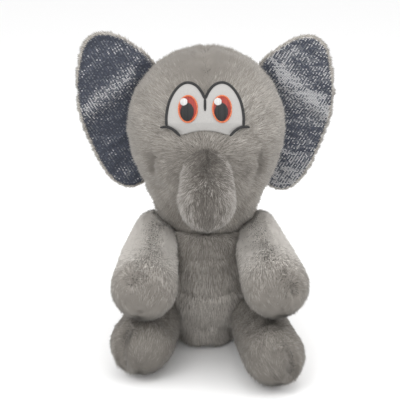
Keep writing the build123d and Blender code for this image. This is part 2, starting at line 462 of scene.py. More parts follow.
def smooth_step(values, low, high):
    t = np.clip((values - low * MM) / ((high - low) * MM), 0, 1)
    return t * t * (3 - 2 * t)


torso = bag("torso_skin", TORSO)
on_floor(torso, 1.5)
kept_clear(torso, HEAD, 1.5)
side_seams = near_plane(torso, (0, 0, 0), (0, 1, 0), 2.2)
seat_seam = near_plane(torso, (0, 0, 1.5), (0, 0, 1), 2)
neck_seam = (clearance(places(torso), HEAD)[0] < 2.5 * MM).astype(float)
held = np.maximum(np.maximum(side_seams, seat_seam), neck_seam)
stuffed(torso, held, slack=0.06, pressure=4, cap=4)
BELLY_FOLD = ((-42, -40, 66), (-20, -56, 61), (2, -60, 57), (22, -56, 61), (42, -40, 68))
CHEST_FOLD = ((-30, -48, 97), (0, -56, 95), (30, -48, 97))
creased(torso, BELLY_FOLD, 3.2, 4.5)
creased(torso, CHEST_FOLD, 2.2, 5)

# the stuffing pushes the lower front out between the legs
LAP_TOP, LAP_HALF_WIDTH, LAP_PUSH = 26, 23, 12
co = places(torso)
low = np.clip((LAP_TOP - co[:, 2] / MM) / LAP_TOP, 0, 1) ** 1.5
low *= np.exp(-(co[:, 0] / (LAP_HALF_WIDTH * MM)) ** 4)
co[:, 1] -= np.where(co[:, 1] < -20 * MM, LAP_PUSH * MM * low, 0)
move_to(torso, co)
on_floor(torso, 1.0)
kept_clear(torso, HEAD, 1.0)
skin_piece(torso, "belly_panel", "back_panel", "torso_stuffing")
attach(torso, "torso")
co = places(torso)
down = combed(torso, np.tile(DOWN, (len(co), 1)))
neckward = np.exp(-clearance(co, HEAD)[0] / (7 * MM))
cover = smooth_step(clearance(co, HEAD)[0], 0.2, 1) * smooth_step(co[:, 2], 1.5, 4)
down = down * (1 - 0.75 * neckward)[:, None]
# Painted light and shade: the pile is lighter low down and darker towards the top, under the head.
torso_pile = pile("torso_pile", torso, down, cover, 11, lift=0.6, length=6.5, density=1.38,
                  tone=0.2 - 0.4 * smooth_step(co[:, 2], 30, 105))
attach(torso_pile, "torso")

# Seat, closing stitches and label: the flat seat panel is plush with its pile crushed, the
# stitches close the back seam by hand, and a blank folded tape is caught in the side seam.
seat_cloth = mottled("seat_plush", (0.2, 0.19, 0.175), (0.34, 0.32, 0.3), 1400, 0.4)
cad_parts["seat_panel"].data.materials[0] = seat_cloth
sewing = mottled("sewing_thread", (0.2, 0.19, 0.18), (0.36, 0.345, 0.33), 2500, 0.1, 0.6)
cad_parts["closing_stitches"].data.materials[0] = sewing
low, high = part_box("care_label")
TAPE_LOOP = [(0, 0.35), (5, 0.5), (10, 0.45), (11.6, 0.2), (11.6, -0.2), (10, -0.45), (5, -0.3),
             (0, -0.35)]
tape = bmesh.new()
rows = []
for row in range(13):
    up = low[2] + (high[2] - low[2]) * row / 12
    ripple = 0.6 * MM * sin(row / 3)
    rows.append([tape.verts.new((low[0] + x * MM, y * MM + ripple * sin(x / 5), up))
                 for x, y in TAPE_LOOP])
for lower, upper in zip(rows, rows[1:]):
    for i in range(len(TAPE_LOOP)):
        j = (i + 1) % len(TAPE_LOOP)
        tape.faces.new((lower[i], lower[j], upper[j], upper[i]))
tape.faces.new(reversed(rows[0]))
tape.faces.new(rows[-1])
bmesh.ops.recalc_face_normals(tape, faces=tape.faces)
mesh = bpy.data.meshes.new("label")
tape.to_mesh(mesh)
tape.free()
label = new_object("label", mesh)
label.data.materials.append(mottled("label_tape", (0.75, 0.75, 0.73), (0.86, 0.86, 0.84),
                                    3000, 0.08))
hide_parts("care_label")
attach(label, "torso")

# Neck thread: strong thread that gathers the neck opening. It lies deep in the fold between the
# torso and the head, twisted from two strands.
def thread_tree():
    tree = Tree("thread")
    radius = tree.add_input("Radius", "NodeSocketFloat")
    shades = [tree.add_input(f"Shade {i}", "NodeSocketMaterial") for i in range(3)]
    curve = tree.node("GeometryNodeMeshToCurve", {0: tree.start.outputs["Geometry"]}).outputs[0]
    round_ = tree.node("GeometryNodeCurvePrimitiveCircle", {"Resolution": 6, "Radius": radius})
    tube = tree.node("GeometryNodeCurveToMesh", {
        "Curve": curve, "Profile Curve": round_.outputs[0], "Fill Caps": True,
    }).outputs[0]
    tube = tree.node("GeometryNodeRealizeInstances", {0: tube}).outputs[0]
    tree.link(tree.shaded(tube, shades), tree.end.inputs[0])
    return tree


THREAD = thread_tree()
RNG = np.random.default_rng(5)


def sewn(name, runs, radius, shades, node, body="head"):
    """Threads laid along the runs, one tube each."""
    verts, edges, shade = [], [], []
    for run in runs:
        first = len(verts)
        verts += [tuple(p) for p in run]
        edges += [(first + i, first + i + 1) for i in range(len(run) - 1)]
        shade += [RNG.random()] * len(run)
    mesh = bpy.data.meshes.new(name)
    mesh.from_pydata(verts, edges, [])
    obj = new_object(name, mesh)
    with_attribute(obj, "shade", "FLOAT", np.array(shade))
    dark, mid, light = shades
    THREAD.use_on(obj, **{"Radius": radius * MM, "Shade 0": dark, "Shade 1": mid, "Shade 2": light})
    obj.data.shade_smooth()
    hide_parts(node)
    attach(obj, body)
    return obj


RING_RADIUS, RING_HEIGHT, TWIST, TURNS = 42.6, 118.6, 0.45, 40
gather = []
for strand in (0, pi):
    run = []
    for a in np.linspace(0, 2 * pi, 640):
        radius = RING_RADIUS + TWIST * cos(TURNS * a + strand)
        height = RING_HEIGHT + TWIST * sin(TURNS * a + strand)
        run.append(Vector((radius * cos(a), radius * sin(a), height)) * MM)
    gather.append(run)
# The thread is dark grey, the painted shade of the deep fold it lies in.
greys = [fabric(f"grey_thread_{i}", (v, v * 0.97, v * 0.94), 0.6)
         for i, v in enumerate((0.2, 0.24, 0.28))]
sewn("neck_gathering", gather, 0.5, greys, "neck_thread", "neck")


# Head: a plush ball on a soft neck, with fuller cheeks beside the trunk. It is sewn to the
# torso round the neck and turns and nods there.
head = bag("head_skin", (HEAD[0], HEAD[1]), voxel=4.2)
co = places(head)
CHEEK_REACH, CHEEK_PUSH = 26, 5
for side in (-1, 1):
    cheek = np.array((side * 30, -58, 180)) * MM
    reach = np.linalg.norm(co - cheek, axis=1) / (CHEEK_REACH * MM)
    push = np.exp(-reach ** 2)[:, None] * CHEEK_PUSH * MM
    away = co - np.array((0, 0, 200)) * MM
    co += push * away / np.linalg.norm(away, axis=1)[:, None]
move_to(head, co)
FACE_LEAN = radians(18)
HEAD_MIDDLE = np.array((0, 0, 214)) * MM
FACE_X = np.array((1.0, 0, 0))
FACE_Y = np.array((0, sin(FACE_LEAN), cos(FACE_LEAN)))
FACE_Z = np.array((0, -cos(FACE_LEAN), sin(FACE_LEAN)))
FACE_SHIFT = -1.5
FACE_RADIUS = 77


def on_face(across, up, height):
    """A point of the flat drawing laid on the head, at a height above its pile."""
    across = np.asarray(across, float) + FACE_SHIFT
    up = np.asarray(up, float)
    depth = np.sqrt(np.maximum((FACE_RADIUS + height) ** 2 - across ** 2 - up ** 2, 0))
    step = across[..., None] * FACE_X + up[..., None] * FACE_Y + depth[..., None] * FACE_Z
    return HEAD_MIDDLE + step * MM


def face_place(co):
    """Where a point of the head is in the flat drawing."""
    away = (co - HEAD_MIDDLE) / MM
    return away @ FACE_X - FACE_SHIFT, away @ FACE_Y, away @ FACE_Z


def curve_through(points, step=0.5):
    """A smooth line through the points, in short even steps."""
    points = [np.array(p, float) for p in points]
    ends = [2 * points[0] - points[1], *points, 2 * points[-1] - points[-2]]
    line = []
    for a, b, c, d in zip(ends, ends[1:], ends[2:], ends[3:]):
        count = max(2, int(np.linalg.norm(c - b) / step))
        for t in np.linspace(0, 1, count, endpoint=False):
            line.append(0.5 * (2 * b + (c - a) * t + (2 * a - 5 * b + 4 * c - d) * t ** 2
                               + (3 * b - a - 3 * c + d) * t ** 3))
    return np.array(line + [points[-1]])


def inside_ring(x, y, ring):
    """Whether each point is inside a closed ring of corners."""
    found = np.zeros(len(x), bool)
    for (ax, ay), (bx, by) in zip(ring, np.roll(ring, -1, axis=0)):
        crosses = (ay > y) != (by > y)
        with np.errstate(divide="ignore", invalid="ignore"):
            found ^= crosses & (x < (bx - ax) * (y - ay) / (by - ay) + ax)
    return found


ARCH = ((-35, -5.5), (-35, 4.5), (-32.5, 16.8), (-27.6, 26.5), (-21.5, 32.6), (-15, 34.4),
        (-8.2, 31.6), (-3.4, 25.8), (0, 18.7))
LEFT_ARCH = curve_through(ARCH)
RIGHT_ARCH = curve_through([(-x, y) for x, y in reversed(ARCH)])
PATCH_LOW = curve_through(((35, -5.5), (29, -9.5), (23, -13.5), (11, -11), (0, -10), (-11, -11),
                           (-23, -13.5), (-29, -9.5), (-35, -5.5)))
PATCH = np.concatenate([LEFT_ARCH, RIGHT_ARCH[1:], PATCH_LOW[1:-1]])

across, up, depth = face_place(places(head))
eyes = (np.abs(across) < 42) & (up > -16) & (up < 42) & (depth > 0)
held = np.maximum(near_plane(head, (0, 0, 0), (0, 1, 0), 2.3), eyes.astype(float))
held = np.maximum(held, (places(head)[:, 2] < 112 * MM).astype(float))
stuffed(head, held, slack=0.04, pressure=3.5, cap=3)
CROWN = [(0, -73 * sin(a), 214 + 73 * cos(a)) for a in (0, 0.3, 0.6, 0.88)]
SMILE = [((side * 46.5, -57, 200), (side * 48.5, -55, 192), (side * 46.5, -52, 184))
         for side in (-1, 1)]
for path in SMILE:
    creased(head, path, 5, 3.5)
creased(head, CROWN, 1.4, 3)
skin_piece(head, "face_panel", "head_back_panel", "head_stuffing")
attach(head, "head")
co = places(head)
bridge = HEAD_MIDDLE + np.array((0, -66, -20)) * MM
behind = np.clip(co[:, 1] / (35 * MM), 0, 1)[:, None]
away = (co - bridge) / np.linalg.norm(co - bridge, axis=1)[:, None]
flow = combed(head, away * (1 - behind) + np.array((0, 0, -0.25)) + np.array((0, 0, -1)) * behind)
parted = beside(co, CROWN, 9)[:, None]
sideways = np.stack([np.sign(co[:, 0]), np.zeros(len(co)), np.full(len(co), 0.8)], axis=1)
flow = flow * (1 - parted) + parted * combed(head, sideways)
across, up, depth = face_place(co)
ring = PATCH * 0.97
ring[:, 1] += np.where(ring[:, 1] < -4, 3.5, 0)
on_patch = inside_ring(across, up, ring) & (depth > 0)
cover = np.where(on_patch, 0.0, 1.0) * smooth_step(co[:, 2], 101, 106)
front = co[:, 1] < 0
# The head's pile is a little darker all over, and besides that carries painted shade: on the
# forehead, in a band round the lower head at the height of the trunk, on the left half, and along the
# smile creases and the crown parting.
forehead_shade = np.exp(-(across / 38) ** 2 - ((up - 56) / 24) ** 2) * (depth > 0)
muzzle_shade = np.exp(-((up + 48) / 26) ** 2)
tone = (-0.08 - 0.6 * forehead_shade - 0.22 * muzzle_shade - 0.1 * (across < 0)
        - 0.6 * sum(beside(co, path, 4) for path in SMILE) - 0.35 * beside(co, CROWN, 4))
for part, where, seed in (("face", front, 21), ("head_back", ~front, 22)):
    piece = pile(f"{part}_pile", head, flow, cover * where, seed, length=5.4, lift=0.85, clump=1.9,
                 tone=tone)
    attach(piece, "head")

# Eye patch: one piece of white short-pile felt with two arches. It is laid on the face and sewn
# down under the outline, and its lower edge sinks into the pile above the trunk.
def plate(name, ring, thickness, voxel, rounds=2):
    """A flat closed sheet cut to a ring of points, in millimetres in x and z."""
    form = bmesh.new()
    corners = [form.verts.new((x * MM, -thickness * MM / 2, z * MM)) for x, z in ring]
    face = form.faces.new(corners)
    grown = bmesh.ops.extrude_face_region(form, geom=[face])
    top = [v for v in grown["geom"] if isinstance(v, bmesh.types.BMVert)]
    bmesh.ops.translate(form, verts=top, vec=(0, thickness * MM, 0))
    bmesh.ops.recalc_face_normals(form, faces=form.faces)
    bmesh.ops.triangulate(form, faces=form.faces)
    mesh = bpy.data.meshes.new(name)
    form.to_mesh(mesh)
    form.free()
    return remeshed(new_object(name, mesh), voxel, rounds)


patch = plate("eye_patch_felt", PATCH, 2.6, 0.8, 3)
co = places(patch) / MM
sunk = 2.4 * np.clip((-3 - co[:, 2]) / 8, 0, 1)
move_to(patch, on_face(co[:, 0], co[:, 2], -co[:, 1] - 0.1 - sunk))
patch.data.shade_smooth()
patch.data.materials.append(mottled("white_felt", (0.355, 0.345, 0.335), (0.415, 0.405, 0.39),
                                    1800, 0.12, 0.9, 0.1))
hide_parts("eye_patch")
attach(patch, "head")

# Face embroidery: satin stitches of shiny thread, side by side. The outline and the cheek
# strokes are sewn across their width, the irises, pupils and glints in upright rows.
def across_stroke(line, width, height, pitch=0.42):
    """Short stitches over the width of a line, each a little arch."""
    steps = np.concatenate([[0], np.cumsum(np.linalg.norm(np.diff(line, axis=0), axis=1))])
    runs = []
    for at in np.arange(0, steps[-1], pitch):
        x, y = (np.interp(at, steps, line[:, i]) for i in (0, 1))
        before, after = (np.array([np.interp(at + step, steps, line[:, i]) for i in (0, 1)])
                         for step in (-0.3, 0.3))
        ahead = after - before
        side = np.array((-ahead[1], ahead[0])) / np.linalg.norm(ahead)
        taper = min(1, 0.45 + min(at, steps[-1] - at) / 4)
        half = width / 2 * taper
        side = side + 0.18 * ahead / np.linalg.norm(ahead)
        t = np.linspace(-1, 1, 5)
        runs.append(on_face(x + side[0] * half * t, y + side[1] * half * t,
                            height - 0.55 * np.abs(t) ** 3))
    return runs


def upright_rows(x, y, half_width, half_height, height, pitch=0.5):
    """Satin rows that fill an oval."""
    runs = []
    for off in np.arange(-half_width + pitch / 2, half_width, pitch):
        half = half_height * sqrt(max(0, 1 - (off / half_width) ** 2)) + RNG.uniform(-0.12, 0.12)
        if half < 0.4:
            continue
        t = np.linspace(-1, 1, max(5, int(half)))
        runs.append(on_face(np.full(len(t), x + off), y + half * t, height - 0.5 * np.abs(t) ** 6))
    return runs


black = [fabric(f"black_satin_{i}", (v, v, v * 1.03), 0.55)
         for i, v in enumerate((0.008, 0.013, 0.02))]
white = [fabric(f"white_satin_{i}", (v, v, v * 0.985), 0.35)
         for i, v in enumerate((0.55, 0.6, 0.66))]
STROKE_WIDTH, STROKE_HEIGHT = 2.2, 1.9
NOTCH = curve_through(((0, 19), (0, 13), (0, 8)))
outline = (across_stroke(LEFT_ARCH, STROKE_WIDTH, STROKE_HEIGHT)
           + across_stroke(RIGHT_ARCH, STROKE_WIDTH, STROKE_HEIGHT)
           + across_stroke(NOTCH, 2.0, STROKE_HEIGHT))
sewn("eye_outline_satin", outline, 0.3, black, "eye_outline")
CHEEK = ((40.5, -6.2), (35, -6), (31, -7.3), (27, -10), (22.5, -14.5))
EYE = (15.4, 9.8)


def iris_colours():
    shades = []
    for i, (dark, light) in enumerate((((0.26, 0.022, 0.016), (0.56, 0.1, 0.035)),
                                       ((0.32, 0.032, 0.02), (0.64, 0.13, 0.042)),
                                       ((0.38, 0.042, 0.024), (0.7, 0.17, 0.055)))):
        material = fabric(f"iris_satin_{i}", light, 0.38)
        nodes, links = material.node_tree.nodes, material.node_tree.links
        where = nodes.new("ShaderNodeTexCoord")
        parts = nodes.new("ShaderNodeSeparateXYZ")
        ramp = nodes.new("ShaderNodeMapRange")
        ramp.inputs["From Min"].default_value = 0.222
        ramp.inputs["From Max"].default_value = 0.232
        mix = nodes.new("ShaderNodeMix")
        mix.data_type = "RGBA"
        mix.inputs["A"].default_value = (*light, 1)
        mix.inputs["B"].default_value = (*dark, 1)
        links.new(where.outputs["Object"], parts.inputs[0])
        links.new(parts.outputs["Z"], ramp.inputs["Value"])
        links.new(ramp.outputs["Result"], mix.inputs["Factor"])
        links.new(mix.outputs["Result"], nodes["Principled BSDF"].inputs["Base Color"])
        shades.append(material)
    return shades


iris_shades = iris_colours()
rim_shades = [fabric(f"iris_rim_{i}", c, 0.38) for i, c in
              enumerate(((0.56, 0.13, 0.05), (0.64, 0.17, 0.07), (0.7, 0.22, 0.09)))]
for side, sign in (("left", -1), ("right", 1)):
    stroke = curve_through([(sign * x, y) for x, y in CHEEK])
    sewn(f"{side}_cheek_satin", across_stroke(stroke, STROKE_WIDTH, STROKE_HEIGHT), 0.3, black,
         f"{side}_cheek_stroke")
    x, y = sign * EYE[0], EYE[1]
    rows = upright_rows(x, y, 8.2, 11.9, 1.7)
    sewn(f"{side}_iris_satin", rows, 0.32, iris_shades, f"{side}_iris")
    around = np.linspace(0, 2 * pi, 81)
    edge = np.stack([x + 8.4 * np.cos(around), y + 12.1 * np.sin(around)], axis=1)
    sewn(f"{side}_iris_rim", across_stroke(edge, 1.1, 2.0), 0.26, rim_shades,
         f"{side}_iris")
    sewn(f"{side}_pupil_satin", upright_rows(x - 0.7, y - 2.6, 6.1, 8.5, 2.15), 0.32, black,
         f"{side}_pupil")
    sewn(f"{side}_glint_satin", upright_rows(x - 3.8, y + 6.4, 3.3, 3.3, 2.6), 0.32, white,
         f"{side}_glint")

# Trunk: short and thick, sewn flat on the face below the patch and stuffed. Its pile stands up
# more than elsewhere, in darker shades that are painted shade, lighter on its sides as a painted
# rim light. It lifts where it meets the face.
TRUNK_PAINTED_SHADES = [
    fabric("trunk_painted_shade_dark", (0.135, 0.12, 0.105), 0.75, 0.15),
    fabric("trunk_painted_shade_mid", (0.25, 0.23, 0.205), 0.75, 0.15),
    fabric("trunk_painted_shade_light", (0.46, 0.43, 0.4), 0.75, 0.15),
]
TRUNK = ((0, -60, 203, 15), (0, -70, 192, 19.5), (0, -106, 171.5, 23))
trunk = bag("trunk_skin", TRUNK, voxel=3.2, rounds=6)
kept_clear(trunk, HEAD, 1.0)
held = (clearance(places(trunk), HEAD)[0] < 2.5 * MM).astype(float)
stuffed(trunk, held, slack=0.03, pressure=4, cap=2.5)
skin_piece(trunk, "trunk_left_panel", "trunk_right_panel", "trunk_stuffing")
co = places(trunk)
along = np.array((0.0, -0.55, -1.0))
flow = combed(trunk, np.tile(along, (len(co), 1)))
cover = smooth_step(clearance(co, HEAD)[0], 0.8, 2.5)
# Painted shade and light: the pile is darker all over, lighter on the sides as a rim light and a
# little lighter towards the tip.
trunk_pile = pile("trunk_pile", trunk, flow, cover, 31, length=5.0, lift=0.9, clump=1.0,
                  tone=(-0.3 + 0.5 * np.abs(normals(trunk)[:, 0]) ** 2
                        + 0.15 * smooth_step(-co[:, 1], 95, 120)), shades=TRUNK_PAINTED_SHADES)
for piece in (trunk, trunk_pile):
    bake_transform(piece)

# Ears: flat stuffed pads sewn to the sides of the head. The back and the rim are plush, and the
# front is lined with a dark knit that has a silver yarn in it.
EAR_FREE = ((-46, 272), (-57, 284.5), (-78, 299), (-94, 304.5), (-109, 303), (-121, 291),
            (-127, 268), (-129, 242), (-123, 210), (-110, 176), (-97, 156), (-84, 147), (-71, 146),
            (-57, 153))
EAR_SEWN = ((-57, 153), (-62, 178), (-67.5, 203), (-68, 222), (-62, 246), (-46, 272))


def drawn_in(ring, inset):
    """A ring of points moved inwards."""
    middle = ring.mean(axis=0)
    before, after = np.roll(ring, 1, axis=0), np.roll(ring, -1, axis=0)
    run = after - before
    square = np.stack([run[:, 1], -run[:, 0]], axis=1)
    square /= np.maximum(np.linalg.norm(square, axis=1), 1e-9)[:, None]
    facing = np.sign(np.sum(square * (middle - ring), axis=1).mean())
    return ring + square * facing * inset


def fold_line(x, z, width):
    """1 along the soft fold that runs from the top of the seam outwards and down."""
    ridge = (z - (262 - (x - 66) * 0.75)) * 0.8
    along = np.clip((x - 58) / 15, 0, 1) * np.clip((135 - x) / 20, 0.35, 1)
    return np.exp(-(ridge / width) ** 2) * along


def ear_wave(x, z):
    """How far the pad stands forward at a place, in millimetres."""
    x = np.abs(x)
    fold = 4.0 * fold_line(x, z, 9)
    cup = 3.0 * np.clip((x - 100) / 28, 0, 1) ** 2 + 2.0 * np.clip((190 - z) / 40, 0, 1) ** 2
    hollow = -2.5 * np.exp(-((x - 96) / 22) ** 2 - ((z - 205) / 30) ** 2)
    return fold + cup + hollow


def knit_tree():
    """One loop of yarn on every point of the lining, along the row."""
    tree = Tree("knit")
    loop = tree.add_input("Loop", "NodeSocketObject")
    size = tree.add_input("Size", "NodeSocketFloat")
    shades = [tree.add_input(f"Shade {i}", "NodeSocketMaterial") for i in range(4)]
    points = tree.node("GeometryNodeMeshToPoints", {0: tree.start.outputs["Geometry"]}).outputs[0]
    turned = tree.node("FunctionNodeAlignRotationToVector",
                       {"Vector": tree.attribute("out", "FLOAT_VECTOR")}, axis="Z")
    turned = tree.node("FunctionNodeAlignRotationToVector", {
        "Rotation": turned.outputs[0], "Vector": tree.attribute("row", "FLOAT_VECTOR"),
    }, axis="X", pivot_axis="Z")
    scale = tree.node("ShaderNodeCombineXYZ", {0: size, 1: size, 2: size})
    loops = tree.node("GeometryNodeInstanceOnPoints", {
        "Points": points,
        "Instance": tree.node("GeometryNodeObjectInfo", {"Object": loop}).outputs["Geometry"],
        "Rotation": turned.outputs[0], "Scale": scale.outputs[0],
    }).outputs[0]
    loops = tree.store(loops, "shade", tree.attribute("shade"), "FLOAT", "INSTANCE")
    real = tree.node("GeometryNodeRealizeInstances", {0: loops}).outputs[0]
    tree.link(tree.shaded(real, shades), tree.end.inputs[0])
    return tree


def loop_shape():
    """A knit stitch: two fat strokes of yarn that meet in a V, a unit wide."""
    verts, faces = [], []
    for side in (-1, 1):
        first = len(verts)
        foot, head_end = Vector((side * 0.06, -0.55, 0)), Vector((side * 0.4, 0.5, 0))
        middle = (foot + head_end) / 2
        run = (head_end - foot).normalized()
        square = Vector((-run.y, run.x, 0)) * 0.2
        top = Vector((0, 0, 0.26))
        verts += [foot, middle + square, middle + top, middle - square, middle - top, head_end]
        ringed = [1, 2, 3, 4]
        for i, a in enumerate(ringed):
            b = ringed[(i + 1) % 4]
            faces += [(first, first + a, first + b), (first + 5, first + b, first + a)]
    mesh = bpy.data.meshes.new("loop")
    mesh.from_pydata(verts, [], faces)
    form = bmesh.new()
    form.from_mesh(mesh)
    bmesh.ops.recalc_face_normals(form, faces=form.faces)
    form.to_mesh(mesh)
    form.free()
    mesh.shade_smooth()
    return new_object("loop", mesh)


def edge_finder(ring):
    """Looks up the nearest point of a ring in the flat of the ear."""
    tree = KDTree(len(ring))
    for i, (x, z) in enumerate(ring):
        tree.insert((x, 0, z), i)
    tree.balance()
    return tree


def distances(tree, co):
    """How far each vertex is from the ring, in millimetres."""
    return np.array([tree.find((x / MM, 0, z / MM))[2] for x, _, z in co])


KNIT = knit_tree()
LOOP = loop_shape()
yarns = [
    fabric("yarn_dark", (0.055, 0.062, 0.085), 0.75),
    fabric("yarn_blue", (0.095, 0.105, 0.14), 0.7),
    fabric("yarn_grey", (0.27, 0.28, 0.3), 0.5, 0, 0.3),
    fabric("yarn_silver", (0.9, 0.89, 0.88), 0.35, 0, 0.6),
]
lining_cloth = mottled("lining_ground", (0.03, 0.034, 0.048), (0.07, 0.078, 0.1), 1500, 0.3)
EAR_THICKNESS, EAR_BACK, RIM = 4.0, 16.5, 4.4
PITCH, RISE, LOOP_SIZE = 1.55, 1.25, 1.62

for side, sign in (("left", -1), ("right", 1)):
    free, sewn_edge = curve_through(EAR_FREE, 3), curve_through(EAR_SEWN, 3)
    ring = np.concatenate([free, sewn_edge[1:-1]])
    ring[:, 0] *= -sign
    shift = 0 if side == "left" else -3.0
    ring[:, 1] += shift
    if side == "right":
        ring[:, 0] -= 2.5 * (ring[:, 0] - 60) / 70
    pad = plate(f"{side}_ear_skin", drawn_in(ring, 1.8), EAR_THICKNESS, 2.6)
    co = places(pad)
    from_edge = distances(edge_finder(ring), co)
    held = ((from_edge < 3.4) | (np.abs(co[:, 0]) < 79 * MM) & (from_edge < 6)).astype(float)
    stuffed(pad, held, slack=0.03, pressure=2.5, cap=2.2)
    co = places(pad)
    co[:, 1] += EAR_BACK * MM - ear_wave(co[:, 0] / MM, co[:, 2] / MM) * MM
    move_to(pad, co)
    skin_piece(pad, f"{side}_ear_back", f"{side}_ear_wadding")

    co, out = places(pad), normals(pad)
    free_edge = edge_finder(ring[:len(free)])
    lined = (out[:, 1] < 0.1) & (distances(free_edge, co) > RIM)
    outwards = np.stack([np.full(len(co), sign * 1.0), np.zeros(len(co)), (co[:, 2] - 0.22) * 6],
                        axis=1)
    flow = combed(pad, outwards)
    ear_pile = pile(f"{side}_ear_pile", pad, flow, np.where(lined, 0.0, 1.0), 41 + sign, length=3.4,
                    lift=0.8, density=2.2, width=0.5)
    surface = BVHTree.FromPolygons([tuple(p) for p in co],
                                   [tuple(f.vertices) for f in pad.data.polygons])
    lining_ring = drawn_in(ring, 1.2)
    xs = np.arange(50, 132, PITCH)
    zs = np.arange(144, 306, RISE)
    grid_x, grid_z = np.meshgrid(sign * xs, zs)
    inside = inside_ring(grid_x.ravel(), grid_z.ravel(), lining_ring).reshape(grid_x.shape)
    index, verts, outs, turns = {}, [], [], []
    for row in range(len(zs)):
        for column in range(len(xs)):
            if not inside[row, column]:
                continue
            x = grid_x[row, column] + sign * (PITCH / 2 if row % 2 else 0)
            z = grid_z[row, column]
            if free_edge.find((x, 0, z))[2] < 3.8:
                continue
            hit = surface.ray_cast(Vector((x * MM, -0.05, z * MM)), Vector((0, 1, 0)))
            if hit[0] is None:
                continue
            index[row, column] = len(verts)
            verts.append(hit[0] + hit[1] * 0.5 * MM)
            outs.append(hit[1])
            turns.append((row // 2 + column) % 2)
    faces = []
    for (row, column), a in index.items():
        corners = [(row, column + 1), (row + 1, column + 1), (row + 1, column)]
        if all(c in index for c in corners):
            faces.append((a, *(index[c] for c in corners)))
    mesh = bpy.data.meshes.new(f"{side}_lining")
    mesh.from_pydata(verts, [], faces)
    lining = new_object(f"{side}_lining", mesh)
    thick = lining.modifiers.new("Solidify", "SOLIDIFY")
    thick.thickness = 0.5 * MM
    thick.offset = -1 if sign > 0 else 1
    loops = new_object(f"{side}_lining_knit", mesh.copy())
    applied(lining)
    lining.data.shade_smooth()
    lining.data.materials.append(lining_cloth)
    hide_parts(f"{side}_ear_lining")
    rng = np.random.default_rng(60 + sign)
    co = places(loops)
    # Painted highlight: more loops take the grey and silver yarns along the fold, where the lining
    # faces up and forward, and on the right ear all over and at its lower end. Under that the yarns
    # are a random and alternating mix.
    facing = np.array([n.dot(Vector((0, -0.7, 0.7))) for n in outs])
    fold = fold_line(np.abs(co[:, 0]) / MM, co[:, 2] / MM, 13)
    low_end_highlight = np.clip((188 - co[:, 2] / MM) / 25, 0, 1)
    painted_gleam = (-0.15, 0.42, 0.0) if side == "left" else (0.12, 0.45, 0.3)
    painted_highlight = painted_gleam[0] + painted_gleam[1] * fold + painted_gleam[2] * low_end_highlight
    painted_highlight = painted_highlight + np.clip((facing - 0.78) * 1.5, -0.2, 0.3)
    silver_and_highlight = np.clip(0.6 * rng.random(len(verts)) + 0.32 * np.array(turns) + painted_highlight, 0, 1)
    with_attribute(loops, "out", "FLOAT_VECTOR", np.array([tuple(n) for n in outs]))
    with_attribute(loops, "row", "FLOAT_VECTOR", np.tile([1.0, 0.0, 0.0], (len(verts), 1)))
    with_attribute(loops, "shade", "FLOAT", silver_and_highlight)
    KNIT.use_on(loops, **{"Loop": LOOP, "Size": LOOP_SIZE * MM,
                          **{f"Shade {i}": yarn for i, yarn in enumerate(yarns)}})
    loops.data.shade_smooth()
    for piece in (pad, ear_pile, lining, loops):
        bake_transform(piece)

# Arms: stuffed tubes that hang forward from the shoulders to a full round paw. Each is sewn to the
# torso round its shoulder; the seam along its middle is not drawn.
def limb(name, balls, seed, dents, seamed=True, tone=0.0, end_tone_and_painted_light=0.0, clump=0.8,
         shades=None):
    """A stuffed limb with its pile, drawn in along its dents."""
    skin = bag(f"{name}_skin", balls, voxel=3.6, rounds=5)
    kept_clear(skin, TORSO, 2.0)
    kept_clear(skin, HEAD, 4.5)
    first, last = np.array(balls[0][:3], float), np.array(balls[-1][:3], float)
    along = (last - first) / np.linalg.norm(last - first)
    sideways = np.cross(along, (0, 0, 1))
    co = places(skin)
    seam = near_plane(skin, first, sideways, 2.0) * (co[:, 2] > 20 * MM) * seamed
    held = np.maximum(seam, (clearance(co, TORSO)[0] < 3.5 * MM).astype(float))
    stuffed(skin, held, slack=0.03, pressure=4, cap=1.2)
    for path, depth, width in dents:
        creased(skin, path, depth, width)
    on_floor(skin, 3.5)
    kept_clear(skin, TORSO, 2.0)
    skin_piece(skin, f"{name}_outer_panel", f"{name}_inner_panel", f"{name}_stuffing")
    co = places(skin)
    flow = combed(skin, np.tile(along, (len(co), 1)) + np.array((0, 0, -0.35)))
    cover = smooth_step(clearance(co, TORSO)[0], 1.8, 3.5)
    reached = np.clip((co - first * MM) @ along / (np.linalg.norm(last - first) * MM + 0.02), 0, 1)
    # Painted light and shade on the pile: lighter on faces that look up, on the arms much paler on
    # top, and darker along the dents.
    upward = normals(skin)[:, 2]
    start_tone_and_painted_light = tone * np.clip(0.1 + 1.3 * upward, 0, 1) if tone > 0 else tone
    shade = start_tone_and_painted_light + (end_tone_and_painted_light - start_tone_and_painted_light) * reached ** 2 + 0.15 * upward
    for path, depth, width in dents:
        shade -= 0.9 * beside(co, path, width)
        away = off_line(co, path)
        away /= np.maximum(np.linalg.norm(away, axis=1), 1e-6)[:, None]
        wide = beside(co, path, width * 2.5)[:, None]
        flow = flow * (1 - wide) + combed(skin, away) * wide
    fur = pile(f"{name}_pile", skin, flow, cover, seed, lift=0.6, tone=shade, clump=clump,
               shades=shades)
    for piece in (skin, fur):
        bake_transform(piece)


